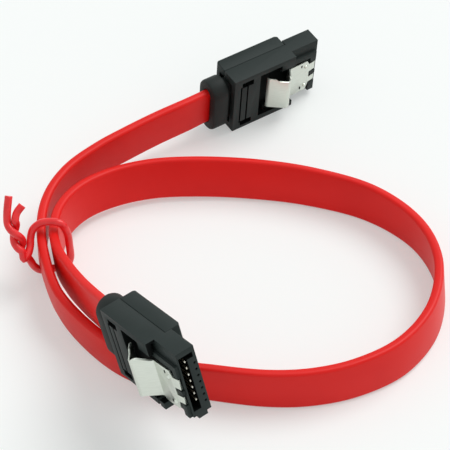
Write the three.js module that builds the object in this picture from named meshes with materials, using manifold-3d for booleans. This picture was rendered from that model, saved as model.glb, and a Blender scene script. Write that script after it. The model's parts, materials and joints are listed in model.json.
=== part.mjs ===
// A short flat data cable with a latching seven-contact plug at each end.
// The flat jacket stands on its edge in an open loop of about one and a third turns, and one
// wire tie holds two of its runs together. Millimetres, +Z up, standing on z = 0.
import * as THREE from 'three';
import { mergeVertices } from 'three/addons/utils/BufferGeometryUtils.js';
import Module from 'manifold-3d';

const wasm = await Module();
wasm.setup();

const DEGREE = Math.PI / 180;

// Gap left between pieces that touch
const PIECE_GAP = 0.3;

// How far joined blocks sink into each other, and how far a cut runs past a face
const JOIN = 0.1;
const CUT_OVER = 1;

// Cable jacket
const CABLE_WIDTH = 8.0;
const CABLE_THICKNESS = 1.7;
const CABLE_CORNER = 0.45;
const CABLE_STEPS = 80;
const CABLE_DROP = 0.5;

// Contacts
const CONTACT_COUNT = 7;
const CONTACT_PITCH = 1.27;
const CONTACT_WIDTH = 0.5;
const CONTACT_THICKNESS = 0.24;
const CONTACT_TAIL = 3.6;
const CONTACT_TIP_SETBACK = 0.67;
const CONTACT_RISE = 0.45;
const CONTACT_SEAT = 0.1;
const CONTACT_BOW_LENGTH = 1.6;
const CONTACT_JACKET_GAP = 0.8;
const CHANNEL_CLEARANCE = 0.2;
const CHANNEL_DEPTH = 0.5;

// Mouth: the collar that goes over the header
const MOUTH_HEIGHT = 12.64;
const MOUTH_THICKNESS = 3.36;
const COLLAR_LENGTH = 6.2;
const SLOT_HEIGHT = 10.65;
const SLOT_WIDTH = 1.45;
const SLOT_NEAR_WALL = 0.25;
const SLOT_DEPTH = 5.6;
const KEY_LEG_REACH = 1.15;
const KEY_LEG_HEIGHT = 0.95;
const KEY_RIB_WIDTH = 1.7;
const KEY_RIB_HEIGHT = 0.7;
const VENT_RADIUS = 0.24;
const VENT_WALL = 0.31;
const VENT_DEPTH = 1.4;

// Body: the housing half on the latch side and the cover half behind it
const BODY_LENGTH = 14.0;
const BODY_NEAR = 3.3;
const BODY_FAR = 3.45;
const BODY_DROP = 0.75;
const SEAM_Y = 0.46;
const END_WALL = 1.2;
const FRONT_WALL = 1.2;
const BAY_CLEARANCE = 0.36;
const COVER_CORNER = 0.35;

// Window and latch bay on the near side
const WINDOW_START = 1.4;
const WINDOW_LENGTH = 2.9;
const WINDOW_DEPTH = 0.45;
const WINDOW_SIDE_WALL = 0.65;
const POCKET_HEIGHT = 1.25;
const GROOVE_WIDTH = 0.32;
const LATCH_BAY_START = 5.9;
const LATCH_BAY_FLOOR = 1.5;
const BAY_RIB_START = 7.5;
const BAY_RIB_LENGTH = 1.7;
const BAY_RIB_CLEARANCE = 0.35;
const ROOF_THICKNESS = 1.1;
const LEDGE_THICKNESS = 1.2;
const PILLAR_LENGTH = 3.1;
const PILLAR_HEIGHT = 2.5;
const STEP_POCKET_MARGIN = 0.45;
const RAIL_PROUD = 0.55;
const RAIL_HEIGHT = 1.1;
const RAIL_SETBACK = 0.4;
const TAB_LENGTH = 1.7;
const UPPER_TAB_HEIGHT = 1.1;
const MIDDLE_TAB_DROP = 3.7;
const MIDDLE_TAB_HEIGHT = 0.9;
const LOWER_TAB_DROP = 6.6;
const LEDGE_NOTCH_SETBACK = 1.4;
const LEDGE_NOTCH_LENGTH = 0.6;
const LEDGE_NOTCH_DEPTH = 1.2;

// Boot: the strain relief on the cable
const BOOT_LENGTH = 3.4;
const BOOT_WIDTH = 5.6;
const BOOT_HEIGHT = 11.9;
const BOOT_BEVEL = 0.45;
const NECK_LENGTH = 0.75;
const NECK_WALL = 0.6;
const FLANGE_LIP = 0.3;
const FLANGE_LENGTH = 1.0;

// Latch: one bent strip of spring steel
const LATCH_THICKNESS = 0.3;
const LATCH_TAIL_X = 7.95;
const LATCH_TAIL_V = 3.55;
const LATCH_HOOK_LENGTH = 0.3;
const LATCH_HOOK_DEPTH = 0.55;
const CREST_X = 11.2;
const CREST_V = 5.7;
const CREST_BLEND = 0.5;
const CREST_FALL = 0.15;
const FOLD_X = 13.5;
const FOLD_V = 2.6;
const FINGER_BEND_SETBACK = 2.2;
const PLATE_V = 2.45;
const FINGER_TIP_SETBACK = 0.55;
const FINGER_TIP_V = 2.15;
const PAD_GAP = 0.42;
const PAD_HEIGHT = 7.6;
const PAD_END = 0.6;
const PAD_FLARE = 0.4;
const PAD_DIP_SETBACK = 0.9;
const PAD_DIP_LENGTH = 2.6;
const PAD_DIP_DEPTH = 0.5;
const PLATE_MARGIN = 1.05;
const SHOULDER_LENGTH = 0.6;
const TONGUE_STEP = 0.3;
const BUMP_RADIUS = 0.42;
const BUMP_SETBACK = 2.9;
const BUMP_SPREAD = 5.0;

// Wire tie
const TIE_DIAMETER = 1.4;
const TIE_STEPS = 110;
const TIE_TWISTS = 0.8;
const TIE_TWIST_START = 70;
const TIE_TWIST_RADIUS = 0.72;
const TIE_TWIST_POINTS = 10;

// Plug places: the middle of the body's back face, then turn, nose-up and roll in degrees
const PLUG_POSES = {
  plug_a: { at: [-0.1, 27.5, 7.45], turn: 33.4, rise: 0.3, roll: 5.5 },
  plug_b: { at: [-16.1, -38.9, 15.3], turn: -54.5, rise: 17.0, roll: 3.8 },
};

// Centre of everything, taken off every place so that the part stands on its middle
const MIDDLE = [0.15, -8.18, -0.06];

// Cable route from plug a to plug b: x, y, z of the middle, and outward lean in degrees.
// The ends inside the plugs are worked out from the plug places.
const CABLE_ROUTE = [
  [-7.2, 22.7, 6.9, -4],
  [-12.7, 19.2, 6.7, -3],
  [-18.3, 15.2, 6.5, -2],
  [-23.8, 10.9, 6.3, -2],
  [-28.9, 5.4, 6.1, -1],
  [-32.0, -1.1, 5.9, -2],
  [-32.8, -8.6, 5.7, -2],
  [-31.4, -16.1, 5.4, 2],
  [-28.6, -23.6, 4.8, 6],
  [-23.7, -30.0, 4.0, 4],
  [-17.5, -35.7, 4.0, 2],
  [-10.5, -39.1, 4.0, 1],
  [-2.4, -40.7, 4.0, -2],
  [7.2, -42.0, 4.0, -4],
  [14.5, -41.7, 4.0, -6],
  [22.0, -39.7, 4.0, -8],
  [29.7, -35.2, 4.0, -10],
  [35.1, -28.3, 4.0, -9],
  [37.5, -20.9, 4.0, -7],
  [37.6, -13.3, 4.0, -6],
  [34.4, -5.5, 4.0, -1],
  [26.9, 1.6, 4.0, 7],
  [16.0, 6.0, 4.0, 13],
  [5.0, 8.1, 4.0, 18],
  [-6.2, 8.4, 4.3, 18],
  [-14.1, 7.5, 4.5, 16],
  [-21.0, 4.9, 4.8, 14],
  [-26.2, 1.0, 5.2, 10],
  [-29.3, -4.3, 5.7, 6],
  [-30.1, -10.3, 6.2, 4],
  [-29.2, -15.3, 6.8, 3],
  [-26.9, -20.6, 7.8, 2],
  [-23.9, -26.1, 9.4, 3],
  [-20.6, -31.7, 11.7, 4],
];

// Wire tie from its twist round both runs and back: over their tops, down inside, back below
const TIE_LOOP = [
  [-35.4, -15.1, 6.9],
  [-34.75, -14.4, 7.3],
  [-34.4, -13.0, 8.0],
  [-34.3, -12.0, 9.2],
  [-33.85, -11.2, 10.4],
  [-32.5, -10.6, 11.3],
  [-30.4, -10.6, 11.7],
  [-28.8, -10.9, 11.4],
  [-27.9, -11.0, 9.2],
  [-27.7, -11.0, 6.0],
  [-27.8, -10.9, 2.5],
  [-28.7, -11.2, 0.95],
  [-30.7, -11.6, 0.8],
  [-33.1, -12.0, 0.8],
  [-34.1, -12.7, 2.5],
  [-34.7, -13.2, 4.7],
];
const TIE_TWIST_BOTTOM = [-35.85, -13.9, 7.9];
const TIE_TWIST_TOP = [-37.4, -11.9, 12.9];
const TIE_FIRST_END = [[-36.5, -10.7, 13.9], [-35.5, -9.6, 14.8]];
const TIE_SECOND_END = [[-38.1, -10.9, 14.3], [-37.8, -9.0, 16.5]];

// Colours and finishes
const BLACK_PLASTIC = { color: 0x33393a, roughness: 0.5, metalness: 0 };
const BOOT_PLASTIC = { color: 0x363b3c, roughness: 0.55, metalness: 0 };
const STEEL = { color: 0xc9cdc2, roughness: 0.35, metalness: 0.9 };
const GOLD_CONTACT = { color: 0xd9cfae, roughness: 0.3, metalness: 0.9 };
const RED_JACKET = { color: 0xc8202a, roughness: 0.45, metalness: 0 };
const RED_TIE = { color: 0xc93540, roughness: 0.3, metalness: 0 };

// Places along the plug: x runs from the body's back face to the mouth, y away from the latch,
// z up, with z = 0 at the middle of the mouth
const MOUTH_X = BODY_LENGTH + COLLAR_LENGTH;
const MOUTH_TOP = MOUTH_HEIGHT / 2;
const HALF_MOUTH = MOUTH_THICKNESS / 2;
const BODY_BOTTOM = -MOUTH_TOP - BODY_DROP;
const SLOT_NEAR = -HALF_MOUTH + SLOT_NEAR_WALL;
const SLOT_FAR = SLOT_NEAR + SLOT_WIDTH;
const SLOT_TOP = SLOT_HEIGHT / 2;
const SLOT_FLOOR_X = MOUTH_X - SLOT_DEPTH;
const LEDGE_TOP = BODY_BOTTOM + LEDGE_THICKNESS;
const ROOF_BOTTOM = MOUTH_TOP - ROOF_THICKNESS;
const PILLAR_X = BODY_LENGTH - PILLAR_LENGTH;
const PILLAR_BOTTOM = MOUTH_TOP - PILLAR_HEIGHT;
const RAIL_BOTTOM = PILLAR_BOTTOM - RAIL_HEIGHT;
const MIDDLE_TAB_TOP = RAIL_BOTTOM - MIDDLE_TAB_DROP;
const LOWER_TAB_TOP = RAIL_BOTTOM - LOWER_TAB_DROP;
const PAD_TOP = PILLAR_BOTTOM - PAD_GAP;
const PAD_BOTTOM = PAD_TOP - PAD_HEIGHT;
const PLATE_TOP = RAIL_BOTTOM - PIECE_GAP;
const PLATE_BOTTOM = -MOUTH_TOP + PLATE_MARGIN;
const JACKET_END = BODY_LENGTH - CONTACT_TAIL - CONTACT_JACKET_GAP;
const FINGER_TIP_X = MOUTH_X - FINGER_TIP_SETBACK;
const HOLE_WIDTH = CABLE_THICKNESS + 2 * PIECE_GAP;
const HOLE_HEIGHT = CABLE_WIDTH + 2 * PIECE_GAP;
const NECK_WIDTH = HOLE_WIDTH + 2 * NECK_WALL;
const NECK_HEIGHT = HOLE_HEIGHT + 2 * NECK_WALL;
const FLANGE_WIDTH = NECK_WIDTH + 2 * FLANGE_LIP;
const FLANGE_HEIGHT = NECK_HEIGHT + 2 * FLANGE_LIP;

// A closed geometry as a solid for joins and cuts
function toSolid(geometry) {
  const plain = geometry.clone();
  plain.deleteAttribute('normal');
  plain.deleteAttribute('uv');
  const merged = mergeVertices(plain, 1e-4);
  return new wasm.Manifold(new wasm.Mesh({
    numProp: 3,
    vertProperties: new Float32Array(merged.attributes.position.array),
    triVerts: new Uint32Array(merged.index.array),
  }));
}

// A solid back as a geometry
function toGeometry(solid) {
  const mesh = solid.getMesh();
  const geometry = new THREE.BufferGeometry();
  geometry.setAttribute('position', new THREE.BufferAttribute(mesh.vertProperties, 3));
  geometry.setIndex(new THREE.BufferAttribute(mesh.triVerts, 1));
  geometry.computeVertexNormals();
  return geometry;
}

// A box from its lowest and highest x, y and z
function block(x0, x1, y0, y1, z0, z1) {
  const box = new THREE.BoxGeometry(x1 - x0, y1 - y0, z1 - z0);
  box.translate((x0 + x1) / 2, (y0 + y1) / 2, (z0 + z1) / 2);
  return toSolid(box);
}

// A box on the middle of the cable's hole, from its x range, y range and height
function cableBlock(x0, x1, y0, y1, height) {
  return block(x0, x1, y0, y1, -CABLE_DROP - height / 2, -CABLE_DROP + height / 2);
}

function namedMesh(name, geometry, finish) {
  const mesh = new THREE.Mesh(geometry, new THREE.MeshStandardMaterial(finish));
  mesh.name = name;
  return mesh;
}

function contactZ(index) {
  return ((CONTACT_COUNT - 1) / 2 - index) * CONTACT_PITCH;
}

// Shallow window beside the cable: a deep pocket at each end and two grooves between them
function windowCuts() {
  const floor = -BODY_NEAR + WINDOW_DEPTH;
  const top = MOUTH_TOP - ROOF_THICKNESS;
  const bottom = BODY_BOTTOM + WINDOW_SIDE_WALL;
  const end = WINDOW_START + WINDOW_LENGTH;
  const outside = -BODY_NEAR - CUT_OVER;
  const cuts = [
    block(WINDOW_START + GROOVE_WIDTH, end, outside, floor, top - POCKET_HEIGHT, top),
    block(WINDOW_START + GROOVE_WIDTH, end, outside, floor, bottom, bottom + POCKET_HEIGHT),
  ];
  for (const x of [WINDOW_START, WINDOW_START + WINDOW_LENGTH / 2]) {
    cuts.push(block(x, x + GROOVE_WIDTH, outside, floor,
      bottom + POCKET_HEIGHT - GROOVE_WIDTH, top - POCKET_HEIGHT + GROOVE_WIDTH));
  }
  return cuts;
}

// Room for the latch: open at the side, under a roof with a pillar at its front
function latchBayCuts() {
  const outside = -BODY_NEAR - CUT_OVER;
  const notchEnd = BODY_LENGTH - LEDGE_NOTCH_SETBACK;
  return [
    block(LATCH_BAY_START, PILLAR_X, outside, -LATCH_BAY_FLOOR, LEDGE_TOP, ROOF_BOTTOM),
    block(PILLAR_X - JOIN, BODY_LENGTH + CUT_OVER, outside, -LATCH_BAY_FLOOR, LEDGE_TOP, PILLAR_BOTTOM),
    block(PILLAR_X - JOIN, BODY_LENGTH + CUT_OVER, -BODY_NEAR + STEP_POCKET_MARGIN, -HALF_MOUTH,
      PILLAR_BOTTOM - JOIN, MOUTH_TOP - STEP_POCKET_MARGIN),
    block(notchEnd - LEDGE_NOTCH_LENGTH, notchEnd, outside, -BODY_NEAR + LEDGE_NOTCH_DEPTH,
      BODY_BOTTOM - CUT_OVER, LEDGE_TOP + JOIN),
  ];
}

// Slot with its key leg, one channel for each contact and a row of vents in the far wall
function mouthCuts() {
  const front = MOUTH_X + CUT_OVER;
  const cuts = [
    block(SLOT_FLOOR_X, front, SLOT_NEAR, SLOT_FAR, -SLOT_TOP, SLOT_TOP),
    block(SLOT_FLOOR_X, front, SLOT_FAR - JOIN, SLOT_FAR + KEY_LEG_REACH,
      SLOT_TOP - KEY_LEG_HEIGHT, SLOT_TOP),
  ];
  const halfChannel = CONTACT_WIDTH / 2 + CHANNEL_CLEARANCE;
  const channelStart = BODY_LENGTH - FRONT_WALL - JOIN;
  const channelEnd = MOUTH_X - CONTACT_TIP_SETBACK / 2;
  const ventY = HALF_MOUTH - VENT_WALL - VENT_RADIUS;
  for (let i = 0; i < CONTACT_COUNT; i += 1) {
    const z = contactZ(i);
    cuts.push(block(channelStart, channelEnd, SLOT_FAR - CONTACT_RISE / 2,
      SLOT_FAR + CHANNEL_DEPTH, z - halfChannel, z + halfChannel));
    const vent = new THREE.CylinderGeometry(VENT_RADIUS, VENT_RADIUS, VENT_DEPTH + CUT_OVER, 8);
    vent.rotateZ(Math.PI / 2);
    vent.translate(MOUTH_X + (CUT_OVER - VENT_DEPTH) / 2, ventY, z - CONTACT_PITCH / 2);
    cuts.push(toSolid(vent));
  }
  return cuts;
}

// Inside of the body, shared by its two halves: neck hole, flange seat, jacket and contact bay
function insideCuts() {
  const halfNeck = NECK_WIDTH / 2 + PIECE_GAP;
  const halfFlange = FLANGE_WIDTH / 2 + PIECE_GAP;
  const halfJacket = CABLE_THICKNESS / 2 + PIECE_GAP;
  const seatEnd = END_WALL + FLANGE_LENGTH + 2 * PIECE_GAP;
  return [
    cableBlock(-CUT_OVER, END_WALL + JOIN, -halfNeck, halfNeck, NECK_HEIGHT + 2 * PIECE_GAP),
    cableBlock(END_WALL, seatEnd, -halfFlange, halfFlange, FLANGE_HEIGHT + 2 * PIECE_GAP),
    block(seatEnd - JOIN, BODY_LENGTH - FRONT_WALL, -halfJacket, halfJacket,
      -CABLE_DROP - CABLE_WIDTH / 2 - BAY_CLEARANCE,
      contactZ(0) + CONTACT_WIDTH / 2 + BAY_CLEARANCE),
  ];
}

// Near half of the body with the mouth, rail, tabs and key rib
function housingGeometry() {
  const railY = -HALF_MOUTH - RAIL_PROUD;
  const railEnd = MOUTH_X - RAIL_SETBACK;
  const tabX = MOUTH_X - TAB_LENGTH;
  const adds = [
    block(BODY_LENGTH - FRONT_WALL / 2, MOUTH_X, -HALF_MOUTH, SEAM_Y, -MOUTH_TOP, MOUTH_TOP),
    block(BODY_LENGTH, MOUTH_X, SEAM_Y - JOIN, HALF_MOUTH, -MOUTH_TOP, MOUTH_TOP),
    block(BODY_LENGTH, MOUTH_X, -KEY_RIB_WIDTH / 2, KEY_RIB_WIDTH / 2,
      -MOUTH_TOP - KEY_RIB_HEIGHT, -MOUTH_TOP + JOIN),
    block(PILLAR_X + RAIL_SETBACK, railEnd, railY, -HALF_MOUTH + JOIN, RAIL_BOTTOM, PILLAR_BOTTOM + JOIN),
    block(tabX, railEnd, railY, -HALF_MOUTH + JOIN, RAIL_BOTTOM - UPPER_TAB_HEIGHT,
      RAIL_BOTTOM + JOIN),
    block(tabX, railEnd, railY, -HALF_MOUTH + JOIN, MIDDLE_TAB_TOP - MIDDLE_TAB_HEIGHT,
      MIDDLE_TAB_TOP),
    block(tabX, railEnd, railY, -HALF_MOUTH + JOIN, -MOUTH_TOP, LOWER_TAB_TOP),
  ];
  const ribEnd = BAY_RIB_START + BAY_RIB_LENGTH;
  adds.push(
    block(BAY_RIB_START, ribEnd, -BODY_NEAR, -LATCH_BAY_FLOOR + JOIN,
      PAD_TOP + BAY_RIB_CLEARANCE, ROOF_BOTTOM + JOIN),
    block(BAY_RIB_START, ribEnd, -BODY_NEAR, -LATCH_BAY_FLOOR + JOIN,
      LEDGE_TOP - JOIN, PAD_BOTTOM - BAY_RIB_CLEARANCE),
  );
  let solid = block(0, BODY_LENGTH, -BODY_NEAR, SEAM_Y, BODY_BOTTOM, MOUTH_TOP);
  for (const cut of [...windowCuts(), ...latchBayCuts()]) solid = solid.subtract(cut);
  for (const add of adds) solid = solid.add(add);
  for (const cut of [...insideCuts(), ...mouthCuts()]) solid = solid.subtract(cut);
  return toGeometry(solid);
}

// Far half of the body: a hollow cover that closes the bay, with its two far corners cut
function coverGeometry() {
  const front = BODY_LENGTH - PIECE_GAP;
  const seam = SEAM_Y + PIECE_GAP;
  const corners = [
    [0, seam], [front, seam], [front, BODY_FAR - COVER_CORNER], [front - COVER_CORNER, BODY_FAR],
    [COVER_CORNER, BODY_FAR], [0, BODY_FAR - COVER_CORNER],
  ];
  const plan = new THREE.Shape(corners.map(([x, y]) => new THREE.Vector2(x, y)));
  const height = MOUTH_TOP - BODY_BOTTOM;
  const outside = new THREE.ExtrudeGeometry(plan, { depth: height, bevelEnabled: false });
  outside.translate(0, 0, BODY_BOTTOM);
  let solid = toSolid(outside);
  for (const cut of insideCuts()) solid = solid.subtract(cut);
  return toGeometry(solid);
}

// An upright oval with round top and bottom, run along x from x0 to x1
function ovalSolid(width, height, x0, x1, bevel) {
  const radius = width / 2 - bevel;
  const straight = height / 2 - bevel - radius;
  const shape = new THREE.Shape();
  shape.absarc(0, straight, radius, 0, Math.PI, false);
  shape.absarc(0, -straight, radius, Math.PI, 2 * Math.PI, false);
  const geometry = new THREE.ExtrudeGeometry(shape, {
    depth: x1 - x0 - 2 * bevel, curveSegments: 8, bevelEnabled: bevel > 0,
    bevelThickness: bevel, bevelSize: bevel, bevelSegments: 2,
  });
  geometry.translate(0, 0, x0 + bevel);
  geometry.applyMatrix4(new THREE.Matrix4().makeBasis(
    new THREE.Vector3(0, 1, 0), new THREE.Vector3(0, 0, 1), new THREE.Vector3(1, 0, 0)));
  return toSolid(geometry);
}

// Boot: an oval sleeve with a narrow neck and a flange that the two body halves trap
function bootGeometry() {
  const back = -NECK_LENGTH - BOOT_LENGTH;
  const flangeX = END_WALL + PIECE_GAP;
  const flangeEnd = flangeX + FLANGE_LENGTH;
  const solid = ovalSolid(BOOT_WIDTH, BOOT_HEIGHT, back, -NECK_LENGTH, BOOT_BEVEL)
    .add(ovalSolid(NECK_WIDTH, NECK_HEIGHT, -NECK_LENGTH - JOIN, flangeX + JOIN, 0))
    .add(ovalSolid(FLANGE_WIDTH, FLANGE_HEIGHT, flangeX, flangeEnd, 0))
    .subtract(ovalSolid(HOLE_WIDTH, HOLE_HEIGHT, back - CUT_OVER, flangeEnd + CUT_OVER, 0));
  const geometry = toGeometry(solid);
  geometry.translate(0, 0, -CABLE_DROP);
  return geometry;
}

// Side view of the strip, as x and y: its outer line, then the same line moved in by its thickness
function latchOutline() {
  const line = [
    [LATCH_TAIL_X - LATCH_HOOK_LENGTH, LATCH_TAIL_V - LATCH_HOOK_DEPTH],
    [LATCH_TAIL_X, LATCH_TAIL_V], [CREST_X - CREST_BLEND, CREST_V - CREST_FALL], [CREST_X, CREST_V],
    [CREST_X + CREST_BLEND, CREST_V - 2 * CREST_FALL], [FOLD_X, FOLD_V],
    [MOUTH_X - FINGER_BEND_SETBACK, PLATE_V], [FINGER_TIP_X, FINGER_TIP_V],
  ].map(([x, v]) => new THREE.Vector2(x, -v));
  const moved = line.map((point, i) => {
    const before = line[Math.max(i - 1, 0)];
    const after = line[Math.min(i + 1, line.length - 1)];
    const arriving = (i === 0 ? after : point).clone().sub(i === 0 ? point : before).normalize();
    const leaving = (i === line.length - 1 ? point : after).clone()
      .sub(i === line.length - 1 ? before : point).normalize();
    const along = arriving.clone().add(leaving).normalize();
    const inward = new THREE.Vector2(-along.y, along.x);
    return inward.multiplyScalar(LATCH_THICKNESS / along.dot(leaving)).add(point);
  });
  return [...line, ...moved.reverse()];
}

// Outline of the strip seen square on, as x and height: pad with a dip, two fingers and notches
function latchFaceShape() {
  const tip = MOUTH_X;
  const root = MOUTH_X - TAB_LENGTH - PIECE_GAP;
  const shoulder = root - SHOULDER_LENGTH;
  const upperFinger = RAIL_BOTTOM - UPPER_TAB_HEIGHT - PIECE_GAP;
  const notchTop = MIDDLE_TAB_TOP + PIECE_GAP;
  const notchBottom = MIDDLE_TAB_TOP - MIDDLE_TAB_HEIGHT - PIECE_GAP;
  const lowerFinger = LOWER_TAB_TOP + PIECE_GAP;
  const padBack = LATCH_TAIL_X - 1;
  const dipEnd = CREST_X + PAD_DIP_LENGTH / 2 - PAD_DIP_SETBACK;
  const dipStart = dipEnd - PAD_DIP_LENGTH;
  const points = [
    [padBack, PAD_BOTTOM], [CREST_X + PAD_END, PAD_BOTTOM], [FOLD_X - TONGUE_STEP, PAD_BOTTOM - PAD_FLARE],
    [BODY_LENGTH + PIECE_GAP, PLATE_BOTTOM], [shoulder, PLATE_BOTTOM],
    [root, lowerFinger], [tip, lowerFinger], [tip, notchBottom], [root, notchBottom],
    [root, notchTop], [tip, notchTop], [tip, upperFinger], [root, upperFinger],
    [shoulder, PLATE_TOP], [FOLD_X - TONGUE_STEP, PLATE_TOP], [CREST_X + PAD_END, PAD_TOP],
    [dipEnd, PAD_TOP], [dipEnd - PAD_DIP_DEPTH, PAD_TOP - PAD_DIP_DEPTH],
    [dipStart + PAD_DIP_DEPTH, PAD_TOP - PAD_DIP_DEPTH], [dipStart, PAD_TOP],
    [padBack, PAD_TOP],
  ];
  return new THREE.Shape(points.map(([x, z]) => new THREE.Vector2(x, z)));
}

// Spring strip: its bent side view crossed with its face outline, and two locking bumps
function latchGeometry() {
  const strip = new THREE.ExtrudeGeometry(new THREE.Shape(latchOutline()),
    { depth: MOUTH_HEIGHT, bevelEnabled: false });
  strip.translate(0, 0, -MOUTH_TOP);
  const face = new THREE.ExtrudeGeometry(latchFaceShape(),
    { depth: 2 * CREST_V, bevelEnabled: false });
  face.rotateX(Math.PI / 2);
  let solid = toSolid(strip).intersect(toSolid(face));
  const middle = (PLATE_TOP + PLATE_BOTTOM) / 2;
  for (const side of [1, -1]) {
    const bump = new THREE.SphereGeometry(BUMP_RADIUS, 10, 6);
    bump.translate(MOUTH_X - BUMP_SETBACK, -PLATE_V, middle + side * BUMP_SPREAD / 2);
    solid = solid.add(toSolid(bump));
  }
  return toGeometry(solid);
}

// One contact: a thin blade that lies in its channel and bows out into the slot
function contactGeometry() {
  const seat = SLOT_FAR + CHANNEL_DEPTH - CONTACT_SEAT;
  const crest = seat - CONTACT_RISE;
  const tip = MOUTH_X - CONTACT_TIP_SETBACK;
  const bow = [
    [BODY_LENGTH - CONTACT_TAIL, seat], [SLOT_FLOOR_X, seat], [tip - CONTACT_BOW_LENGTH, crest],
    [tip, crest],
  ];
  const back = bow.map(([x, y]) => [x, y - CONTACT_THICKNESS]).reverse();
  const shape = new THREE.Shape([...bow, ...back].map(([x, y]) => new THREE.Vector2(x, y)));
  const geometry = new THREE.ExtrudeGeometry(shape, { depth: CONTACT_WIDTH, bevelEnabled: false });
  geometry.translate(0, 0, -CONTACT_WIDTH / 2);
  return geometry;
}

// One plug with all its pieces, in its place
function buildPlug(name, pose) {
  const plug = new THREE.Group();
  plug.add(namedMesh(`${name}_housing`, housingGeometry(), BLACK_PLASTIC));
  plug.add(namedMesh(`${name}_cover`, coverGeometry(), BLACK_PLASTIC));
  plug.add(namedMesh(`${name}_boot`, bootGeometry(), BOOT_PLASTIC));
  plug.add(namedMesh(`${name}_latch_spring`, latchGeometry(), STEEL));
  for (let i = 0; i < CONTACT_COUNT; i += 1) {
    const contact = namedMesh(`${name}_contact_${i + 1}`, contactGeometry(), GOLD_CONTACT);
    contact.position.z = contactZ(i);
    plug.add(contact);
  }
  plug.rotation.set(pose.roll * DEGREE, -pose.rise * DEGREE, pose.turn * DEGREE, 'ZYX');
  plug.position.set(...pose.at);
  plug.updateMatrix();
  return plug;
}

// A smooth route whose flat section stands upright, apart from the lean given at each point
class LeaningRoute extends THREE.CatmullRomCurve3 {
  constructor(route) {
    super(route.map(([x, y, z]) => new THREE.Vector3(x, y, z)), false, 'centripetal');
    this.leans = route.map((point) => point[3]);
  }

  leanAt(t) {
    const place = t * (this.leans.length - 1);
    const index = Math.min(Math.floor(place), this.leans.length - 2);
    return THREE.MathUtils.lerp(this.leans[index], this.leans[index + 1], place - index);
  }

  computeFrenetFrames(segments) {
    const tangents = [];
    const normals = [];
    const binormals = [];
    for (let i = 0; i <= segments; i += 1) {
      const t = this.getUtoTmapping(i / segments);
      const tangent = this.getTangent(t).normalize();
      const up = new THREE.Vector3(0, 0, 1).addScaledVector(tangent, -tangent.z).normalize();
      up.applyAxisAngle(tangent, this.leanAt(t) * DEGREE);
      tangents.push(tangent);
      normals.push(up.clone().cross(tangent));
      binormals.push(up);
    }
    return { tangents, normals, binormals };
  }
}

// Middle of the cable at a distance x along a plug, with the lean of that plug
function insidePlug(plug, x, lean) {
  const point = new THREE.Vector3(x, 0, -CABLE_DROP).applyMatrix4(plug.matrix);
  return [point.x, point.y, point.z, lean];
}

// Flat section of the jacket: a rectangle with cut corners
function jacketSection() {
  const halfX = CABLE_THICKNESS / 2;
  const halfY = CABLE_WIDTH / 2;
  const cut = CABLE_CORNER;
  const corners = [
    [halfX, halfY - cut], [halfX - cut, halfY], [-halfX + cut, halfY], [-halfX, halfY - cut],
    [-halfX, -halfY + cut], [-halfX + cut, -halfY], [halfX - cut, -halfY], [halfX, -halfY + cut],
  ];
  return new THREE.Shape(corners.map(([x, y]) => new THREE.Vector2(x, y)));
}

// Jacket: straight inside each plug and its boot, along the route between them
function buildCable(plugA, plugB) {
  const back = -NECK_LENGTH - BOOT_LENGTH;
  const leanA = -PLUG_POSES.plug_a.roll;
  const leanB = PLUG_POSES.plug_b.roll;
  const route = [
    insidePlug(plugA, JACKET_END, leanA),
    insidePlug(plugA, 0, leanA),
    insidePlug(plugA, back, leanA),
    ...CABLE_ROUTE,
    insidePlug(plugB, back, leanB),
    insidePlug(plugB, 0, leanB),
    insidePlug(plugB, JACKET_END, leanB),
  ];
  const geometry = new THREE.ExtrudeGeometry(jacketSection(), {
    steps: CABLE_STEPS, bevelEnabled: false, extrudePath: new LeaningRoute(route),
  });
  return namedMesh('cable_jacket', geometry, RED_JACKET);
}

// One strand of the tie's twist, from its bottom to its top
function twistStrand(startDegrees) {
  const bottom = new THREE.Vector3(...TIE_TWIST_BOTTOM);
  const top = new THREE.Vector3(...TIE_TWIST_TOP);
  const along = top.clone().sub(bottom).normalize();
  const side = new THREE.Vector3(0, 0, 1).cross(along).normalize();
  const points = [];
  for (let i = 0; i <= TIE_TWIST_POINTS; i += 1) {
    const share = i / TIE_TWIST_POINTS;
    const angle = (startDegrees - share * TIE_TWISTS * 360) * DEGREE;
    const offset = side.clone().applyAxisAngle(along, angle).multiplyScalar(TIE_TWIST_RADIUS);
    points.push(bottom.clone().lerp(top, share).add(offset));
  }
  return points;
}

// Tie: one wire from its first free end down the twist, round the runs and back up the twist
function buildTie() {
  const toVector = ([x, y, z]) => new THREE.Vector3(x, y, z);
  const points = [
    ...TIE_FIRST_END.map(toVector).reverse(),
    ...twistStrand(TIE_TWIST_START).reverse(),
    ...TIE_LOOP.map(toVector),
    ...twistStrand(TIE_TWIST_START + 180),
    ...TIE_SECOND_END.map(toVector),
  ];
  const section = new THREE.Shape();
  section.absarc(0, 0, TIE_DIAMETER / 2, 0, 2 * Math.PI, false);
  const geometry = new THREE.ExtrudeGeometry(section, {
    steps: TIE_STEPS, curveSegments: 4, bevelEnabled: false,
    extrudePath: new THREE.CatmullRomCurve3(points, false, 'centripetal'),
  });
  return namedMesh('wire_tie', geometry, RED_TIE);
}

const group = new THREE.Group();
group.name = 'data_cable';
const plugs = Object.entries(PLUG_POSES).map(([name, pose]) => buildPlug(name, pose));
group.add(...plugs, buildCable(...plugs), buildTie());
group.position.set(-MIDDLE[0], -MIDDLE[1], -MIDDLE[2]);
group.updateMatrixWorld(true);

export default group;
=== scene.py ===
"""Looks of the short flat red data cable with its two latching plugs and wire tie.

Lengths are in metres, unless a name ends in _MM or _PX. Plug places, cable route, tie and camera
are given in the photograph's own frame, which has the row frame's origin at MIDDLE.
"""

import json
import math

import bmesh
import bpy
from mathutils import Euler, Matrix, Quaternion, Vector

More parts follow.
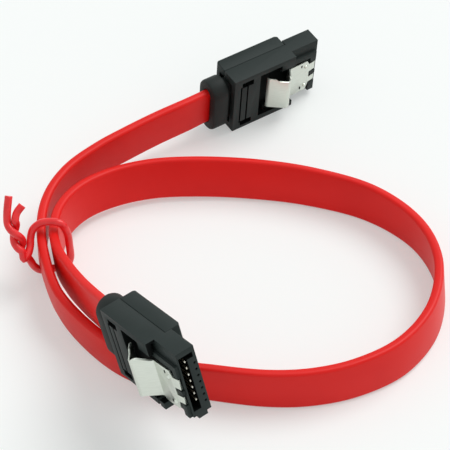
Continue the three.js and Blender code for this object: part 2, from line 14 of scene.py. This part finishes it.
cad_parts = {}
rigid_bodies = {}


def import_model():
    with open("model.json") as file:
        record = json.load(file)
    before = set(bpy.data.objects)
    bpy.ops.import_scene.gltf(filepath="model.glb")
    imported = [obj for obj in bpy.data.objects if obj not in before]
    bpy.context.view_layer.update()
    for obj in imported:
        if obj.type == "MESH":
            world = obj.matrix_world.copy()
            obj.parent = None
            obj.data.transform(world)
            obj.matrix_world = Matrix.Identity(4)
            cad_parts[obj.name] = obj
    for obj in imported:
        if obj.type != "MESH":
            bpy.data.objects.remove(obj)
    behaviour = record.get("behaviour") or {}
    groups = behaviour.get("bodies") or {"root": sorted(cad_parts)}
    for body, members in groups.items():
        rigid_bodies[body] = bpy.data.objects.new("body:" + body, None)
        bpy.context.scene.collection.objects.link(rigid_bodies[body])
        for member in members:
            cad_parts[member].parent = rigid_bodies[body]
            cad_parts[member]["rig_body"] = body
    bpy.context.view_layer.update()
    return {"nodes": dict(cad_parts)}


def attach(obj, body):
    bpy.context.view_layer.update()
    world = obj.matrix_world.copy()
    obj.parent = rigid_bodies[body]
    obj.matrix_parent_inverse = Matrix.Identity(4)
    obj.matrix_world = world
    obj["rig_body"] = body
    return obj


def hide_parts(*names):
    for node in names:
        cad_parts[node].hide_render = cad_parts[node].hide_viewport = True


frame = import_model()

# Sizes shared with the CAD source
MIDDLE = Vector((0.00015, -0.00818, -0.00006))
CABLE_WIDTH = 0.0080
CABLE_THICKNESS = 0.0017
CABLE_DROP = 0.0005
JACKET_END = 0.0096
BOOT_BACK = -0.00415
SEAM_FACE = 0.00076
COVER_FRONT = 0.0137
WINDOW_FLOOR = -0.00285
TIE_DIAMETER = 0.0014
TIE_TWISTS = 0.8
TIE_TWIST_START = 70.0
TIE_TWIST_RADIUS = 0.00072
TIE_TWIST_POINTS = 10

# Plug places: middle of the body's back face, then turn, nose-up and roll in degrees
PLUG_POSES = {
    "plug_a": {"at": (-0.0001, 0.0275, 0.00745), "turn": 33.4, "rise": 0.3, "roll": 5.5},
    "plug_b": {"at": (-0.0161, -0.0389, 0.0153), "turn": -54.5, "rise": 17.0, "roll": 3.8},
}

# Cable route from plug a to plug b: x, y, z of the middle, and outward lean in degrees
CABLE_ROUTE = [
    (-0.0072, 0.0227, 0.0069, -4),
    (-0.0127, 0.0192, 0.0067, -3),
    (-0.0183, 0.0152, 0.0065, -2),
    (-0.0238, 0.0109, 0.0063, -2),
    (-0.0289, 0.0054, 0.0061, -1),
    (-0.0320, -0.0011, 0.0059, -2),
    (-0.0328, -0.0086, 0.0057, -2),
    (-0.0314, -0.0161, 0.0054, 2),
    (-0.0286, -0.0236, 0.0048, 6),
    (-0.0237, -0.0300, 0.0040, 4),
    (-0.0175, -0.0357, 0.0040, 2),
    (-0.0105, -0.0391, 0.0040, 1),
    (-0.0024, -0.0407, 0.0040, -2),
    (0.0072, -0.0420, 0.0040, -4),
    (0.0145, -0.0417, 0.0040, -6),
    (0.0220, -0.0397, 0.0040, -8),
    (0.0297, -0.0352, 0.0040, -10),
    (0.0351, -0.0283, 0.0040, -9),
    (0.0375, -0.0209, 0.0040, -7),
    (0.0376, -0.0133, 0.0040, -6),
    (0.0344, -0.0055, 0.0040, -1),
    (0.0269, 0.0016, 0.0040, 7),
    (0.0160, 0.0060, 0.0040, 13),
    (0.0050, 0.0081, 0.0040, 18),
    (-0.0062, 0.0084, 0.0043, 18),
    (-0.0141, 0.0075, 0.0045, 16),
    (-0.0210, 0.0049, 0.0048, 14),
    (-0.0262, 0.0010, 0.0052, 10),
    (-0.0293, -0.0043, 0.0057, 6),
    (-0.0301, -0.0103, 0.0062, 4),
    (-0.0292, -0.0153, 0.0068, 3),
    (-0.0269, -0.0206, 0.0078, 2),
    (-0.0239, -0.0261, 0.0094, 3),
    (-0.0206, -0.0317, 0.0117, 4),
]

# Wire tie from its twist round both runs and back
TIE_LOOP = [
    (-0.0354, -0.0151, 0.0069),
    (-0.03475, -0.0144, 0.0073),
    (-0.0344, -0.0130, 0.0080),
    (-0.0343, -0.0120, 0.0092),
    (-0.03385, -0.0112, 0.0104),
    (-0.0325, -0.0106, 0.0113),
    (-0.0304, -0.0106, 0.0117),
    (-0.0288, -0.0109, 0.0114),
    (-0.0279, -0.0110, 0.0092),
    (-0.0277, -0.0110, 0.0060),
    (-0.0278, -0.0109, 0.0025),
    (-0.0287, -0.0112, 0.00095),
    (-0.0307, -0.0116, 0.0008),
    (-0.0331, -0.0120, 0.0008),
    (-0.0341, -0.0127, 0.0025),
    (-0.0347, -0.0132, 0.0047),
]
TIE_TWIST_BOTTOM = Vector((-0.03585, -0.0139, 0.0079))
TIE_TWIST_TOP = Vector((-0.0374, -0.0119, 0.0129))
TIE_FIRST_END = [(-0.0365, -0.0107, 0.0139), (-0.0355, -0.0096, 0.0148)]
TIE_SECOND_END = [(-0.0381, -0.0109, 0.0143), (-0.0378, -0.0090, 0.0165)]

# Camera of the photograph: where it stands, how far it looks down, and its lens
CAMERA_AT = Vector((0.0, -0.23212, 0.23815))
CAMERA_DOWN_DEGREES = 45.735
SENSOR_MM = 36.0
IMAGE_WIDTH_PX = 450.0
FOCAL_PX = 1800.0
NEAR_CLIP = 0.01

# How finely the cable and tie are drawn, and how round the ribbon's corners are
CABLE_STEP = 0.0008
CORNER_RADIUS = 0.0006
CORNER_POINTS = 5
TIE_STEP = 0.0003
TIE_SIDES = 20
TIE_HALF_TURN_DEGREES = 180
UV_PER_METRE = 100

# Boxes along the plug that hold the faces of its window, latch bay, step and slot, which get a
# near-black painted shade: lowest and highest corner
PAINTED_SHADE_BOXES = [
    ((0.0013, -0.0032, -0.0065), (0.0044, -0.0023, 0.0053)),
    ((0.0058, -0.0031, -0.0059), (0.0141, -0.0014, 0.0059)),
    ((0.0139, -0.0029, 0.0037), (0.0201, -0.0021, 0.0059)),
    ((0.0145, -0.00145, -0.0054), (0.0201, 0.0012, 0.0054)),
]

# Boxes along the plug that sink the near faces of the two bay ribs
RIB_CUTS = [
    ((0.0073, -0.0035, 0.0036), (0.0094, -0.0024, 0.0052)),
    ((0.0073, -0.0035, -0.00585), (0.0094, -0.0024, -0.0044)),
]

# Small pieces, placed along the plug
CONTACT_COUNT = 7
CONTACT_PITCH = 0.00127
CONTACT_TIP_X = 0.01953
CONTACT_TIP_Y = -0.00016
CONTACT_TIP_RADII = (0.00022, 0.00022, 0.00025)
# Flat near-black pieces beside the latch bumps, painted as the bumps' shadows
BUMP_SHADOW_X = 0.0163
BUMP_SHADOW_Y = -0.00253
BUMP_SHADOW_HEIGHTS = (0.0016, -0.0043)
BUMP_SHADOW_RADII = (0.00016, 0.00006, 0.00036)
ELLIPSOID_SEGMENTS = 16
ELLIPSOID_RINGS = 10

# Dressed copies of a plug's CAD pieces: piece, slot and width of the softened edges
PLUG_COPIES = (
    ("housing", "housing", 0.00012),
    ("cover", "housing", 0.0002),
    ("boot", "boot", 0.0001),
    ("latch_spring", "latch_steel", 0.00007),
)
EDGE_SEGMENTS = 2
EDGE_DEGREES = 25.0
MERGE_DISTANCE = 1e-7
FLAT_DEGREES = 0.5

# How near a point counts as on a face, and how far copies close the seam and deepen the pockets
FACE_TOLERANCE = 0.00002
SEAM_CLOSING = 0.00022
WINDOW_DEEPENING = 0.0004

BODY = "cable"

# Where the colour ramps start and end on the noise
RAMP_ENDS = (0.3, 0.7)

# Floor, light and background
FLOOR_HALF_SIZE = 2
SEEN_WHITE = (0.95, 1.0, 0.985)
FLOOR_WHITE_STRENGTH = 1.0
FLOOR_WHITE_SHARE = 0.36
WORLD_STRENGTH = 0.55
BACKDROP_STRENGTH = 0.95
SUN_ENERGY = 1.7
SUN_WIDTH_DEGREES = 38
SUN_TURN_DEGREES = (-22, 28, 0)


# Objects in the scene
def link_object(name, data):
    obj = bpy.data.objects.new(name, data)
    bpy.context.scene.collection.objects.link(obj)
    return obj


def shade(mesh, smooth):
    for polygon in mesh.polygons:
        polygon.use_smooth = smooth


def link_mesh(name, verts, faces, smooth=True):
    mesh = bpy.data.meshes.new(name)
    mesh.from_pydata([tuple(v) for v in verts], [], faces)
    mesh.update()
    shade(mesh, smooth)
    return link_object(name, mesh)


# Camera
def make_camera():
    data = bpy.data.cameras.new("camera")
    data.sensor_width = SENSOR_MM
    data.lens = SENSOR_MM * FOCAL_PX / IMAGE_WIDTH_PX
    data.clip_start = NEAR_CLIP
    camera = link_object("camera", data)
    camera.location = CAMERA_AT - MIDDLE
    camera.rotation_euler = (math.radians(90 - CAMERA_DOWN_DEGREES), 0, 0)
    bpy.context.scene.camera = camera


# Curves
def cubic_through(before, start, end, after):
    """Coefficients of the cubic from start to end, with centripetal steps."""
    step0 = math.sqrt((start - before).length) or 1.0
    step1 = math.sqrt((end - start).length) or 1.0
    step2 = math.sqrt((after - end).length) or 1.0
    slope0 = (start - before) / step0 - (end - before) / (step0 + step1) + (end - start) / step1
    slope1 = (end - start) / step1 - (after - start) / (step1 + step2) + (after - end) / step2
    slope0 = slope0 * step1
    slope1 = slope1 * step1
    return (
        start,
        slope0,
        -3 * start + 3 * end - 2 * slope0 - slope1,
        2 * start - 2 * end + slope0 + slope1,
    )


def smooth_line(points, step):
    """Points about a step apart on the smooth curve through points, each with its place
    counted in points from the first."""
    points = [Vector(p) for p in points]
    padded = [2 * points[0] - points[1]] + points + [2 * points[-1] - points[-2]]
    line = []
    for i in range(len(points) - 1):
        a, b, c, d = cubic_through(*padded[i : i + 4])
        count = max(2, math.ceil((points[i + 1] - points[i]).length / step))
        for k in range(count):
            t = k / count
            line.append((a + b * t + c * t * t + d * t ** 3, i + t))
    line.append((points[-1], len(points) - 1))
    return line


def line_tangents(line):
    """Unit direction at each point of a line."""
    tangents = []
    for i in range(len(line)):
        ahead = line[min(i + 1, len(line) - 1)]
        behind = line[max(i - 1, 0)]
        tangents.append((ahead - behind).normalized())
    return tangents


def sweep(name, rings):
    """A closed tube through rings of points, with flat ends."""
    sides = len(rings[0])
    verts = [p for ring in rings for p in ring]
    faces = []
    for i in range(len(rings) - 1):
        for k in range(sides):
            n = (k + 1) % sides
            faces.append(
                (i * sides + k, i * sides + n, (i + 1) * sides + n, (i + 1) * sides + k)
            )
    faces.append(tuple(reversed(range(sides))))
    last = (len(rings) - 1) * sides
    faces.append(tuple(range(last, last + sides)))
    obj = link_mesh(name, verts, faces)
    add_lengthwise_uv(obj, rings)
    for polygon in obj.data.polygons[-2:]:
        polygon.use_smooth = False
    return obj


def add_lengthwise_uv(obj, rings):
    """UV with u along the tube and v round it, both in centimetres."""
    sides = len(rings[0])
    along = [0.0]
    for i in range(1, len(rings)):
        along.append(along[-1] + (rings[i][0] - rings[i - 1][0]).length)
    around = [0.0]
    for k in range(1, sides + 1):
        around.append(around[-1] + (rings[0][k % sides] - rings[0][k - 1]).length)
    layer = obj.data.uv_layers.new(name="lengthwise")
    for polygon in obj.data.polygons:
        indices = list(polygon.vertices)
        wraps = {v % sides for v in indices} == {0, sides - 1}
        for loop_index, v in zip(polygon.loop_indices, indices):
            k = v % sides
            if wraps and k == 0:
                k = sides
            place = Vector((along[v // sides], around[k]))
            layer.data[loop_index].uv = place * UV_PER_METRE


# Plug places
def plug_matrix(pose):
    turn = Euler(
        (math.radians(pose["roll"]), -math.radians(pose["rise"]), math.radians(pose["turn"])), "XYZ"
    )
    return Matrix.Translation(Vector(pose["at"]) - MIDDLE) @ turn.to_matrix().to_4x4()


PLUGS = {name: plug_matrix(pose) for name, pose in PLUG_POSES.items()}


# Cable
def rounded_section(width, thickness, radius, points):
    """Points of a rounded rectangle, x across the flat faces and y up."""
    section = []
    for corner, (sx, sy) in enumerate([(1, 1), (-1, 1), (-1, -1), (1, -1)]):
        centre = Vector((sx * (thickness / 2 - radius), sy * (width / 2 - radius)))
        for i in range(points):
            angle = math.radians(90 * corner + 90 * i / (points - 1))
            section.append(centre + radius * Vector((math.cos(angle), math.sin(angle))))
    return section


def cable_points():
    """The whole route in the row frame, with the outward lean at each point."""
    route_points = [(Vector(p[:3]) - MIDDLE, p[3]) for p in CABLE_ROUTE]
    inside = [(x, 0.0, -CABLE_DROP) for x in (JACKET_END, 0.0, BOOT_BACK)]
    lean_a = -PLUG_POSES["plug_a"]["roll"]
    lean_b = PLUG_POSES["plug_b"]["roll"]
    first = [(PLUGS["plug_a"] @ Vector(p), lean_a) for p in inside]
    last = [(PLUGS["plug_b"] @ Vector(p), lean_b) for p in reversed(inside)]
    return first + route_points + last


def make_cable():
    """The ribbon on its edge, and the line through its middle."""
    points = cable_points()
    placed = smooth_line([p for p, _ in points], CABLE_STEP)
    line = [p for p, _ in placed]
    leans = [lean for _, lean in points]
    section = rounded_section(CABLE_WIDTH, CABLE_THICKNESS, CORNER_RADIUS, CORNER_POINTS)
    rings = []
    for (centre, place), tangent in zip(placed, line_tangents(line)):
        index = min(int(place), len(leans) - 2)
        lean = leans[index] + (leans[index + 1] - leans[index]) * (place - index)
        up = (Vector((0, 0, 1)) - tangent * tangent.z).normalized()
        up.rotate(Quaternion(tangent, math.radians(lean)))
        side = up.cross(tangent)
        rings.append([centre + side * p.x + up * p.y for p in section])
    cable = sweep("flat_cable", rings)
    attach(cable, BODY)
    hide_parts("cable_jacket")
    return cable, line


# Wire tie
def twist_strand(start_degrees):
    """One strand of the twist from its bottom to its top, in the photograph's frame."""
    along = (TIE_TWIST_TOP - TIE_TWIST_BOTTOM).normalized()
    side = Vector((0, 0, 1)).cross(along).normalized()
    points = []
    for i in range(TIE_TWIST_POINTS + 1):
        share = i / TIE_TWIST_POINTS
        angle = math.radians(start_degrees - share * TIE_TWISTS * 360)
        offset = side.copy()
        offset.rotate(Quaternion(along, angle))
        centre = TIE_TWIST_BOTTOM.lerp(TIE_TWIST_TOP, share)
        points.append(centre + offset * TIE_TWIST_RADIUS)
    return points


def make_tie():
    """One round wire down the twist, round the runs and back up."""
    points = [Vector(p) for p in reversed(TIE_FIRST_END)]
    points += list(reversed(twist_strand(TIE_TWIST_START)))
    points += [Vector(p) for p in TIE_LOOP]
    points += twist_strand(TIE_TWIST_START + TIE_HALF_TURN_DEGREES)
    points += [Vector(p) for p in TIE_SECOND_END]
    line = [p - MIDDLE for p, _ in smooth_line(points, TIE_STEP)]
    tangents = line_tangents(line)
    side = Vector((0, 0, 1)).cross(tangents[0]).normalized()
    rings = []
    for centre, tangent in zip(line, tangents):
        side = (side - tangent * side.dot(tangent)).normalized()
        up = tangent.cross(side)
        ring = []
        for k in range(TIE_SIDES):
            angle = 2 * math.pi * k / TIE_SIDES
            ring.append(
                centre + (side * math.cos(angle) + up * math.sin(angle)) * TIE_DIAMETER / 2
            )
        rings.append(ring)
    tie = sweep("twisted_tie", rings)
    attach(tie, BODY)
    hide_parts("wire_tie")
    return tie


# Materials
def new_material(name, color, roughness, specular=0.5, metallic=0.0, coat=0.0):
    """A material with constant values, and its shader."""
    material = bpy.data.materials.new(name)
    material.use_nodes = True
    shader = material.node_tree.nodes["Principled BSDF"]
    shader.inputs["Base Color"].default_value = (*color, 1.0)
    shader.inputs["Roughness"].default_value = roughness
    shader.inputs["Specular IOR Level"].default_value = specular
    shader.inputs["Metallic"].default_value = metallic
    shader.inputs["Coat Weight"].default_value = coat
    return material, shader


def add_noise(material, scale, detail, coordinate="Object", stretch=(1, 1, 1)):
    """Procedural noise on stretched coordinates."""
    tree = material.node_tree
    where = tree.nodes.new("ShaderNodeTexCoord")
    mapping = tree.nodes.new("ShaderNodeMapping")
    mapping.inputs["Scale"].default_value = stretch
    noise = tree.nodes.new("ShaderNodeTexNoise")
    noise.inputs["Scale"].default_value = scale
    noise.inputs["Detail"].default_value = detail
    tree.links.new(where.outputs[coordinate], mapping.inputs["Vector"])
    tree.links.new(mapping.outputs["Vector"], noise.inputs["Vector"])
    return noise


def vary_color(material, shader, noise, dark, light):
    """Colour that drifts between dark and light with the noise."""
    tree = material.node_tree
    ramp = tree.nodes.new("ShaderNodeValToRGB")
    for element, position, color in zip(ramp.color_ramp.elements, RAMP_ENDS, (dark, light)):
        element.position = position
        element.color = (*color, 1.0)
    tree.links.new(noise.outputs["Fac"], ramp.inputs["Fac"])
    tree.links.new(ramp.outputs["Color"], shader.inputs["Base Color"])


def vary_roughness(material, shader, noise, low, high):
    """Roughness that drifts between low and high with the noise."""
    tree = material.node_tree
    spread = tree.nodes.new("ShaderNodeMapRange")
    spread.inputs["To Min"].default_value = low
    spread.inputs["To Max"].default_value = high
    tree.links.new(noise.outputs["Fac"], spread.inputs["Value"])
    tree.links.new(spread.outputs["Result"], shader.inputs["Roughness"])


def add_bump(material, shader, noise, distance, strength):
    """Fine unevenness that follows the noise."""
    tree = material.node_tree
    bump = tree.nodes.new("ShaderNodeBump")
    bump.inputs["Distance"].default_value = distance
    bump.inputs["Strength"].default_value = strength
    tree.links.new(noise.outputs["Fac"], bump.inputs["Height"])
    tree.links.new(bump.outputs["Normal"], shader.inputs["Normal"])


def jacket_material():
    material, shader = new_material(
        "jacket_red", color=(0.77, 0.008, 0.006), roughness=0.42, specular=0.28
    )
    drift = add_noise(material, scale=60, detail=3)
    vary_color(material, shader, drift, dark=(0.73, 0.006, 0.004), light=(0.81, 0.009, 0.006))
    lines = add_noise(material, scale=6, detail=4, coordinate="UV", stretch=(0.4, 14, 1))
    vary_roughness(material, shader, lines, low=0.36, high=0.5)
    add_bump(material, shader, lines, distance=0.00003, strength=0.5)
    return material


def tie_material():
    material, shader = new_material(
        "tie_red", color=(0.62, 0.02, 0.03), roughness=0.28, specular=0.4, coat=0.2
    )
    drift = add_noise(material, scale=900, detail=2)
    vary_color(material, shader, drift, dark=(0.8, 0.018, 0.022), light=(0.92, 0.028, 0.032))
    add_bump(material, shader, drift, distance=0.00002, strength=0.3)
    return material


def plastic_material(name, dark, light, low, high):
    material, shader = new_material(name, color=dark, roughness=low, specular=0.14)
    grain = add_noise(material, scale=4500, detail=3)
    drift = add_noise(material, scale=160, detail=3)
    vary_color(material, shader, drift, dark, light)
    vary_roughness(material, shader, drift, low, high)
    add_bump(material, shader, grain, distance=0.00002, strength=0.35)
    return material


def steel_material():
    material, shader = new_material(
        "latch_steel", color=(0.68, 0.71, 0.645), roughness=0.34, metallic=1.0
    )
    brushing = add_noise(material, scale=700, detail=3, stretch=(1, 1, 9))
    vary_color(material, shader, brushing, dark=(0.65, 0.68, 0.615), light=(0.71, 0.74, 0.675))
    vary_roughness(material, shader, brushing, low=0.32, high=0.42)
    add_bump(material, shader, brushing, distance=0.00001, strength=0.1)
    return material


# Near-black painted shade for the faces deep in the plug's recesses and for the shadows beside the
# latch bumps
def painted_shade_material():
    material, shader = new_material(
        "painted_shade_near_black", color=(0.003, 0.004, 0.004), roughness=0.6, specular=0.1
    )
    drift = add_noise(material, scale=900, detail=2)
    vary_color(material, shader, drift, dark=(0.002, 0.003, 0.003), light=(0.004, 0.005, 0.005))
    return material


def gold_material(name, color, roughness, dark, light, low, high):
    material, shader = new_material(name, color, roughness, metallic=0.8)
    drift = add_noise(material, scale=1500, detail=2)
    vary_color(material, shader, drift, dark, light)
    vary_roughness(material, shader, drift, low, high)
    return material


def plug_materials():
    """Materials of the plugs by slot, with more for the recesses' painted shade and the contacts'
    painted-highlight tips and shaded blades.
    """
    return {
        "housing": plastic_material(
            "housing_plastic",
            dark=(0.021, 0.029, 0.0275),
            light=(0.028, 0.037, 0.0355),
            low=0.46,
            high=0.6,
        ),
        "boot": plastic_material(
            "boot_plastic",
            dark=(0.017, 0.021, 0.02),
            light=(0.024, 0.029, 0.0275),
            low=0.48,
            high=0.62,
        ),
        # painted shade for the recess faces and the bump shadows
        "painted_shade": painted_shade_material(),
        "latch_steel": steel_material(),
        # Pale gold: the contacts' gold, lightened as a painted highlight for the glints on their
        # ends
        "contact": gold_material(
            "contact_gold_painted_highlight",
            color=(0.9, 0.86, 0.74),
            roughness=0.25,
            dark=(0.84, 0.79, 0.64),
            light=(0.95, 0.92, 0.84),
            low=0.2,
            high=0.34,
        ),
        # Darker gold: the same gold, darkened as painted shade for the blades in their slots
        "blade": gold_material(
            "blade_gold_painted_shade",
            color=(0.3, 0.26, 0.17),
            roughness=0.4,
            dark=(0.2, 0.17, 0.11),
            light=(0.32, 0.28, 0.2),
            low=0.35,
            high=0.5,
        ),
    }


def set_material(obj, material):
    obj.data.materials.clear()
    obj.data.materials.append(material)


# Dressed copies of CAD nodes, with softened edges, a finer seam, deeper pockets and sunk ribs
def close_seam(point):
    """Draws the cover up to the housing, leaving a fine groove."""
    if abs(point.y - SEAM_FACE) < FACE_TOLERANCE:
        point.y -= SEAM_CLOSING
    if abs(point.x - COVER_FRONT) < FACE_TOLERANCE:
        point.x += SEAM_CLOSING
    return point


def deepen_window(point):
    """Sinks the floor of the pockets and grooves beside the cable."""
    if abs(point.y - WINDOW_FLOOR) < FACE_TOLERANCE:
        point.y += WINDOW_DEEPENING
    return point


RESHAPES = {"cover": close_seam, "housing": deepen_window}


def cutter_box(low, high, place):
    """A box between two corners, moved with the plug."""
    work = bmesh.new()
    bmesh.ops.create_cube(work, size=1.0)
    mesh = bpy.data.meshes.new("cutter")
    work.to_mesh(mesh)
    work.free()
    middle = (Vector(low) + Vector(high)) / 2
    size = Vector(high) - Vector(low)
    mesh.transform(place @ Matrix.Translation(middle) @ Matrix.Diagonal((*size, 1.0)))
    return link_object("cutter", mesh)


def sink_ribs(mesh, place):
    """The mesh with the near faces of its two bay ribs lowered."""
    whole = link_object("whole", mesh)
    cutters = [cutter_box(low, high, place) for low, high in RIB_CUTS]
    for cutter in cutters:
        cut = whole.modifiers.new("cut", "BOOLEAN")
        cut.operation = "DIFFERENCE"
        cut.solver = "EXACT"
        cut.object = cutter
    depsgraph = bpy.context.evaluated_depsgraph_get()
    lowered = bpy.data.meshes.new_from_object(whole.evaluated_get(depsgraph))
    for obj in [whole, *cutters]:
        bpy.data.objects.remove(obj, do_unlink=True)
    return lowered


def softened_copy(plug, piece, width):
    """A copy of a plug's CAD node with softened edges, which replaces it."""
    node = f"{plug}_{piece}"
    source = frame["nodes"][node]
    mesh = source.data.copy()
    if piece == "housing":
        mesh = sink_ribs(mesh, PLUGS[plug])
    mesh.name = node + "_soft"
    work = bmesh.new()
    work.from_mesh(mesh)
    bmesh.ops.remove_doubles(work, verts=work.verts, dist=MERGE_DISTANCE)
    bmesh.ops.dissolve_limit(
        work, angle_limit=math.radians(FLAT_DEGREES), verts=work.verts, edges=work.edges
    )
    if piece in RESHAPES:
        place = PLUGS[plug]
        back = place.inverted()
        for vert in work.verts:
            vert.co = place @ RESHAPES[piece](back @ vert.co)
    work.to_mesh(mesh)
    work.free()
    shade(mesh, smooth=True)
    obj = link_object(node + "_soft", mesh)
    bevel = obj.modifiers.new("edges", "BEVEL")
    bevel.width = width
    bevel.segments = EDGE_SEGMENTS
    bevel.limit_method = "ANGLE"
    bevel.angle_limit = math.radians(EDGE_DEGREES)
    bevel.use_clamp_overlap = True
    bevel.harden_normals = True
    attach(obj, source["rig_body"])
    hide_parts(node)
    return obj


def paint_pocket_shade(obj, plug, material):
    """Gives the faces inside the window, latch bay, step and slot a near-black material as painted
    shade.
    """
    shade_index = len(obj.data.materials)
    obj.data.materials.append(material)
    back = PLUGS[plug].inverted()
    for polygon in obj.data.polygons:
        centre = back @ polygon.center
        for low, high in PAINTED_SHADE_BOXES:
            if all(low[k] < centre[k] < high[k] for k in range(3)):
                polygon.material_index = shade_index


# Small pieces on the plugs
def ellipsoid(name, radii, place):
    work = bmesh.new()
    bmesh.ops.create_uvsphere(
        work, u_segments=ELLIPSOID_SEGMENTS, v_segments=ELLIPSOID_RINGS, radius=1.0
    )
    mesh = bpy.data.meshes.new(name)
    work.to_mesh(mesh)
    work.free()
    mesh.transform(place @ Matrix.Diagonal((*radii, 1.0)))
    shade(mesh, smooth=True)
    return link_object(name, mesh)


def add_contact_tips(plug, material):
    """A rounded end on each contact, in pale gold lightened to paint its glint as a highlight."""
    tips = []
    for i in range(CONTACT_COUNT):
        z = ((CONTACT_COUNT - 1) / 2 - i) * CONTACT_PITCH
        place = PLUGS[plug] @ Matrix.Translation((CONTACT_TIP_X, CONTACT_TIP_Y, z))
        tip = ellipsoid(f"{plug}_contact_tip_{i + 1}", CONTACT_TIP_RADII, place)
        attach(tip, BODY)
        set_material(tip, material)
        tips.append(tip)
    return tips


def add_bump_shadows(plug, material):
    """A flat near-black piece beside each locking bump of the latch, painted as the bump's shadow.
    """
    bump_shadows = []
    for i, z in enumerate(BUMP_SHADOW_HEIGHTS):
        place = PLUGS[plug] @ Matrix.Translation((BUMP_SHADOW_X, BUMP_SHADOW_Y, z))
        bump_shadow = ellipsoid(f"{plug}_latch_bump_shadow_{i + 1}", BUMP_SHADOW_RADII, place)
        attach(bump_shadow, frame["nodes"][f"{plug}_latch_spring"]["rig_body"])
        set_material(bump_shadow, material)
        bump_shadows.append(bump_shadow)
    return bump_shadows


def dress_plug(plug, materials):
    """All the pieces of one plug, dressed."""
    pieces = []
    for piece, slot, width in PLUG_COPIES:
        soft = softened_copy(plug, piece, width)
        set_material(soft, materials[slot])
        if piece == "housing":
            # painted shade on the faces in the window, latch bay, step and slot
            paint_pocket_shade(soft, plug, materials["painted_shade"])
        pieces.append(soft)
    for i in range(CONTACT_COUNT):
        blade = frame["nodes"][f"{plug}_contact_{i + 1}"]
        # darker gold, painted shade on the blades
        set_material(blade, materials["blade"])
        pieces.append(blade)
    pieces += add_contact_tips(plug, materials["contact"])
    # painted shadows beside the latch bumps
    pieces += add_bump_shadows(plug, materials["painted_shade"])
    return pieces


# Floor, light and background
def seen_rays(tree):
    """One for camera, glossy and transmission rays, and none for diffuse light."""
    ray = tree.nodes.new("ShaderNodeLightPath")
    seen = ray.outputs["Is Camera Ray"]
    for kind in ("Is Glossy Ray", "Is Transmission Ray"):
        either = tree.nodes.new("ShaderNodeMath")
        either.operation = "MAXIMUM"
        tree.links.new(seen, either.inputs[0])
        tree.links.new(ray.outputs[kind], either.inputs[1])
        seen = either.outputs["Value"]
    return seen


def whiten_for_camera(material, shader):
    """Mixes plain near-white into the surface for the camera and mirror rays, which adds no diffuse
    light."""
    tree = material.node_tree
    plain = tree.nodes.new("ShaderNodeEmission")
    plain.inputs["Color"].default_value = (*SEEN_WHITE, 1.0)
    plain.inputs["Strength"].default_value = FLOOR_WHITE_STRENGTH
    amount = tree.nodes.new("ShaderNodeMath")
    amount.operation = "MULTIPLY"
    amount.inputs[1].default_value = FLOOR_WHITE_SHARE
    mix = tree.nodes.new("ShaderNodeMixShader")
    output = tree.nodes["Material Output"]
    tree.links.new(seen_rays(tree), amount.inputs[0])
    tree.links.new(amount.outputs["Value"], mix.inputs["Fac"])
    tree.links.new(shader.outputs["BSDF"], mix.inputs[1])
    tree.links.new(plain.outputs["Emission"], mix.inputs[2])
    tree.links.new(mix.outputs["Shader"], output.inputs["Surface"])


def make_floor():
    far = FLOOR_HALF_SIZE
    corners = [(-far, -far, 0), (far, -far, 0), (far, far, 0), (-far, far, 0)]
    floor = link_mesh("floor", corners, [(0, 1, 2, 3)], smooth=False)
    material, shader = new_material(
        "pale_floor", color=(0.945, 0.965, 0.955), roughness=0.6, specular=0.2
    )
    drift = add_noise(material, scale=3, detail=1)
    vary_color(material, shader, drift, dark=(0.94, 0.96, 0.95), light=(0.95, 0.97, 0.96))
    whiten_for_camera(material, shader)
    set_material(floor, material)


def make_world():
    """Soft light from all round, and a near-white backdrop for the camera and mirror rays."""
    world = bpy.data.worlds.new("soft_white")
    world.use_nodes = True
    tree = world.node_tree
    light = tree.nodes["Background"]
    light.inputs["Color"].default_value = (1, 1, 1, 1)
    light.inputs["Strength"].default_value = WORLD_STRENGTH
    backdrop = tree.nodes.new("ShaderNodeBackground")
    backdrop.inputs["Color"].default_value = (*SEEN_WHITE, 1)
    backdrop.inputs["Strength"].default_value = BACKDROP_STRENGTH
    mix = tree.nodes.new("ShaderNodeMixShader")
    tree.links.new(seen_rays(tree), mix.inputs["Fac"])
    tree.links.new(light.outputs["Background"], mix.inputs[1])
    tree.links.new(backdrop.outputs["Background"], mix.inputs[2])
    tree.links.new(mix.outputs["Shader"], tree.nodes["World Output"].inputs["Surface"])
    bpy.context.scene.world = world


def make_sun():
    sun = bpy.data.lights.new("soft_sun", "SUN")
    sun.energy = SUN_ENERGY
    sun.angle = math.radians(SUN_WIDTH_DEGREES)
    lamp = link_object("soft_sun", sun)
    lamp.rotation_euler = [math.radians(turn) for turn in SUN_TURN_DEGREES]


bpy.context.scene.view_settings.view_transform = "Standard"
make_camera()
cable, cable_line = make_cable()
tie = make_tie()
set_material(cable, jacket_material())
set_material(tie, tie_material())
materials = plug_materials()
plug_pieces = {plug: dress_plug(plug, materials) for plug in PLUGS}
make_floor()
make_world()
make_sun()
